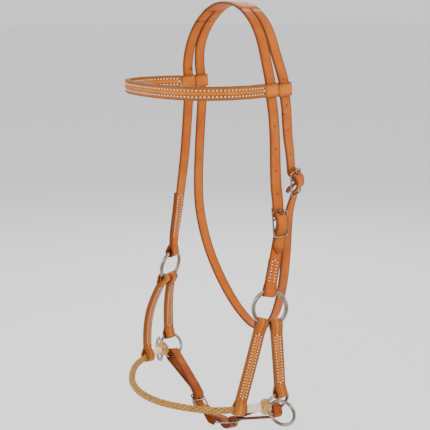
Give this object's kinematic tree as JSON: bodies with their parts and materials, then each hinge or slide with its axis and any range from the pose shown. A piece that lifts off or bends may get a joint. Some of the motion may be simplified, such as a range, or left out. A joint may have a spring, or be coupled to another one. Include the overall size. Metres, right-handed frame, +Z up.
{
  "type": "bitless bridle headstall",
  "caption": "Leather headstall with a browband, a throatlatch, a rope noseband on doubled side straps, a chin strap, rings for the reins and three-bar buckles.",
  "frame": {"origin": "underside of the crown strap at the top of the poll, on the middle plane of the head", "axes": "+X to the horse's left, where the buckles are; -Y towards the nose; +Z up"},
  "size_m": [0.3298, 0.2066, 0.6029],
  "materials": {
    "tan_leather": "oiled",
    "light_leather": "oiled, lighter",
    "chin_leather": "oiled, darker",
    "rope": "braided",
    "pale_rawhide": "smooth",
    "gold_rawhide": "plaited",
    "nickel": "polished nickel"
  },
  "bodies": {
    "headstall": {"crown_poll": "tan_leather", "near_cheek_billet": "tan_leather", "near_throat_billet": "tan_leather", "near_lower_cheek": "light_leather", "off_cheek_strap": "tan_leather", "off_throat_strap": "tan_leather", "throatlatch": "tan_leather", "cheek_buckle_frame": "nickel", "throat_buckle_frame": "nickel"},
    "browband": {"browband": "light_leather", "near_browband_loops": "light_leather", "off_browband_loops": "light_leather"},
    "cheek_tongue": {"cheek_buckle_tongue": "nickel"},
    "throat_tongue": {"throat_buckle_tongue": "nickel"},
    "noseband": {"rope_noseband": "rope", "near_front_side_strap": "light_leather", "near_rear_side_strap": "light_leather", "near_rawhide_sleeve": "pale_rawhide", "near_end_knot": "gold_rawhide", "off_front_side_strap": "light_leather", "off_rear_side_strap": "light_leather", "off_rawhide_sleeve": "pale_rawhide", "off_end_knot": "gold_rawhide"},
    "chin_strap": {"near_chin_strap": "chin_leather", "off_chin_strap": "chin_leather", "chin_strap_middle": "chin_leather", "near_chin_buckle_frame": "nickel", "off_chin_buckle_frame": "nickel"},
    "near_chin_tongue": {"near_chin_buckle_tongue": "nickel"},
    "off_chin_tongue": {"off_chin_buckle_tongue": "nickel"},
    "near_side_ring": {"near_side_ring": "nickel"},
    "near_jaw_ring": {"near_jaw_ring": "nickel"},
    "near_rein_ring": {"near_rein_ring": "nickel"},
    "off_side_ring": {"off_side_ring": "nickel"},
    "off_jaw_ring": {"off_jaw_ring": "nickel"},
    "off_rein_ring": {"off_rein_ring": "nickel"}
  },
  "joints": [
    {"name": "browband_slide", "type": "slide", "parent": "headstall", "child": "browband", "axis": [0, 0, 1], "range_m": [-0.006, 0.003]},
    {"name": "noseband_swing", "type": "hinge", "parent": "headstall", "child": "noseband", "pos_m": [0, -0.026, -0.383], "axis": [1, 0, 0], "range_deg": [-8, 8]},
    {"name": "chin_strap_swing", "type": "hinge", "parent": "noseband", "child": "chin_strap", "pos_m": [0, -0.02, -0.53167], "axis": [0.9999, 0, 0.0161], "range_deg": [-7, 7]},
    {"name": "cheek_tongue_turn", "type": "hinge", "parent": "headstall", "child": "cheek_tongue", "pos_m": [0.1053, 0.001, -0.259], "axis": [-0.2077, -0.9771, -0.0458], "range_deg": [0, 6]},
    {"name": "throat_tongue_turn", "type": "hinge", "parent": "headstall", "child": "throat_tongue", "pos_m": [0.108, 0.0243, -0.2083], "axis": [0.2345, -0.9405, -0.246], "range_deg": [0, 6]},
    {"name": "near_chin_tongue_turn", "type": "hinge", "parent": "chin_strap", "child": "near_chin_tongue", "pos_m": [0.048, -0.02623, -0.57406], "axis": [0, -0.9901, 0.14], "range_deg": [0, 6]},
    {"name": "off_chin_tongue_turn", "type": "hinge", "parent": "chin_strap", "child": "off_chin_tongue", "pos_m": [-0.053, -0.0256, -0.56961], "axis": [0, 0.9901, -0.14], "range_deg": [0, 6]},
    {"name": "near_side_ring_turn", "type": "hinge", "parent": "noseband", "child": "near_side_ring", "pos_m": [0.122, -0.026, -0.383], "axis": [0.9131, -0.3689, 0.1736], "continuous": true},
    {"name": "near_jaw_ring_turn", "type": "hinge", "parent": "noseband", "child": "near_jaw_ring", "pos_m": [0.1315, -0.02, -0.5135], "axis": [0.9135, 0, -0.4067], "continuous": true},
    {"name": "near_rein_ring_turn", "type": "hinge", "parent": "noseband", "child": "near_rein_ring", "pos_m": [0.14357, -0.0202, -0.52364], "axis": [0.6177, -0.033, 0.7857], "continuous": true},
    {"name": "off_side_ring_turn", "type": "hinge", "parent": "noseband", "child": "off_side_ring", "pos_m": [-0.122, -0.026, -0.383], "axis": [-0.9131, -0.3689, 0.1736], "continuous": true},
    {"name": "off_jaw_ring_turn", "type": "hinge", "parent": "noseband", "child": "off_jaw_ring", "pos_m": [-0.1315, -0.02, -0.5175], "axis": [0.9135, 0, 0.4067], "continuous": true},
    {"name": "off_rein_ring_turn", "type": "hinge", "parent": "noseband", "child": "off_rein_ring", "pos_m": [-0.15098, -0.0302, -0.52866], "axis": [0.3001, 0.9524, -0.054], "continuous": true}
  ]
}
